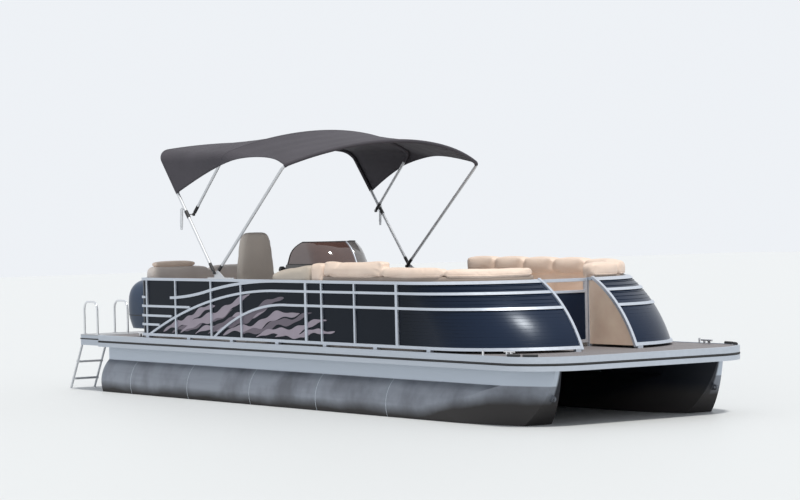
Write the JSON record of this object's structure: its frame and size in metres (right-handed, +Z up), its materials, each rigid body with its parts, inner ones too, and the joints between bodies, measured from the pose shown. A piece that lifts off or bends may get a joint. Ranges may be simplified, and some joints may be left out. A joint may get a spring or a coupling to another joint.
{
  "type": "pontoon boat",
  "caption": "Pontoon boat afloat: tubes, fenced deck with gates, lounges, helm with screen, folding bimini top, tilting outboard motor and boarding ladder.",
  "frame": {"origin": "on the waterline, on the centre line, under the middle of the deck", "axes": "+X towards the bow, +Y to port, +Z up"},
  "size_m": [9.218, 2.59, 3.3186],
  "materials": {
    "tube_aluminium": "brushed mill aluminium with water stains",
    "rail_aluminium": "satin anodised extrusion",
    "rub_band": "bright band over a dark web",
    "deck_grey": "textured grey deck edge",
    "floor_vinyl": "woven vinyl flooring",
    "panel_navy": "high gloss near-black navy sheet with fine ribs",
    "cheek_brown": "glossy brown tinted sheet",
    "seat_shell": "moulded seat base",
    "vinyl_cream": "soft grained marine vinyl",
    "vinyl_taupe": "soft grained marine vinyl",
    "console_shell": "moulded console, dark with a grained dash",
    "screen_bronze": "bronze tinted acrylic",
    "wheel_grip": "soft black grip on bright spokes",
    "bright_metal": "polished stainless steel",
    "bow_tube": "anodised round tube",
    "canvas": "charcoal woven acrylic canvas",
    "motor_navy": "gloss dark navy paint",
    "motor_black": "satin black cast housing",
    "prop_steel": "brushed stainless steel",
    "gate_hinge": "satin anodised frame with navy sheet"
  },
  "bodies": {
    "hull": {"tube_starboard": "tube_aluminium", "tube_port": "tube_aluminium", "tow_eyes": "tube_aluminium", "deck": "deck_grey", "cross_members": "tube_aluminium", "rub_rail": "rub_band", "floor_covering": "floor_vinyl", "stern_platform": "deck_grey", "motor_pod": "tube_aluminium", "fence_panels_starboard": "panel_navy", "fence_panels_port": "panel_navy", "rails_starboard": "rail_aluminium", "rails_port": "rail_aluminium", "gate_cheeks": "cheek_brown", "stern_fence_panels": "panel_navy", "stern_rails": "rail_aluminium", "lounge_base_starboard": "seat_shell", "lounge_seat_starboard": "vinyl_cream", "lounge_back_starboard": "vinyl_cream", "lounge_base_port": "seat_shell", "lounge_seat_port": "vinyl_cream", "lounge_back_port": "vinyl_cream", "stern_base": "seat_shell", "stern_seat": "vinyl_cream", "stern_back": "vinyl_cream", "helm_console": "console_shell", "coaming_pad": "vinyl_taupe", "windscreen": "screen_bronze", "throttle": "wheel_grip", "helm_pedestal": "bright_metal", "bimini_mounts": "bow_tube", "motor_clamp": "motor_black", "ladder_brackets": "bow_tube", "grab_rails": "bright_metal", "cleats": "bright_metal"},
    "bow_gate": {"bow_gate": "gate_hinge"},
    "side_gate": {"side_gate": "gate_hinge"},
    "stern_gate": {"stern_gate": "gate_hinge"},
    "helm_wheel": {"steering_wheel": "wheel_grip"},
    "chair": {"helm_chair": "vinyl_taupe"},
    "rear_bow": {"bimini_rear_bow": "bow_tube"},
    "front_bow": {"bimini_front_bow": "bow_tube", "bimini_canvas": "canvas"},
    "middle_bow": {"bimini_middle_bow": "bow_tube"},
    "motor_bracket": {"motor_swivel_bracket": "motor_black"},
    "motor": {"motor_leg": "motor_black", "motor_cowl": "motor_navy"},
    "screw": {"propeller": "prop_steel"},
    "ladder": {"ladder": "bow_tube"}
  },
  "joints": [
    {"name": "bow_gate_swing", "type": "hinge", "parent": "hull", "child": "bow_gate", "pos_m": [2.844, -0.296, 0.9], "axis": [0, 0, 1], "range_deg": [0, 90]},
    {"name": "side_gate_swing", "type": "hinge", "parent": "hull", "child": "side_gate", "pos_m": [-0.154, 1.193, 0.9], "axis": [0, 0, 1], "range_deg": [0, 90]},
    {"name": "stern_gate_swing", "type": "hinge", "parent": "hull", "child": "stern_gate", "pos_m": [-2.843, 0.424, 0.9], "axis": [0, 0, -1], "range_deg": [0, 90]},
    {"name": "helm_turn", "type": "hinge", "parent": "hull", "child": "helm_wheel", "pos_m": [-0.36551, -0.72, 1.34957], "axis": [-0.8682, 0, 0.4961], "range_deg": [-900, 900]},
    {"name": "chair_swivel", "type": "hinge", "parent": "hull", "child": "chair", "pos_m": [-1.02, -0.79, 0.86], "axis": [0, 0, 1], "range_deg": [-180, 180]},
    {"name": "bimini_lower", "type": "hinge", "parent": "hull", "child": "rear_bow", "pos_m": [-1.31, 0, 1.318], "axis": [0, -1, 0], "range_deg": [0, 40]},
    {"name": "bimini_fold", "type": "hinge", "parent": "rear_bow", "child": "front_bow", "pos_m": [-1.31, 0, 1.318], "axis": [0, -1, 0], "range_deg": [0, 84], "deforming": ["bimini_canvas"]},
    {"name": "bimini_middle_fold", "type": "hinge", "parent": "rear_bow", "child": "middle_bow", "pos_m": [-1.82461, 0, 1.92266], "axis": [0, -1, 0], "range_deg": [0, 80]},
    {"name": "motor_tilt", "type": "hinge", "parent": "hull", "child": "motor_bracket", "pos_m": [-4.235, 0, 0.52], "axis": [0, 1, 0], "range_deg": [0, 65]},
    {"name": "motor_steer", "type": "hinge", "parent": "motor_bracket", "child": "motor", "pos_m": [-4.33, 0, 0.37], "axis": [0, 0, 1], "range_deg": [-30, 30]},
    {"name": "propeller_spin", "type": "hinge", "parent": "motor", "child": "screw", "pos_m": [-4.75, 0, -0.335], "axis": [1, 0, 0], "continuous": true},
    {"name": "ladder_swing", "type": "hinge", "parent": "hull", "child": "ladder", "pos_m": [-4.207, -1.045, 0.59], "axis": [0, 1, 0], "range_deg": [0, 165]}
  ],
  "couplings": [
    {"joint": "helm_turn", "follows": "motor_steer", "ratio": -30},
    {"joint": "bimini_middle_fold", "follows": "bimini_fold", "ratio": 0.95}
  ]
}
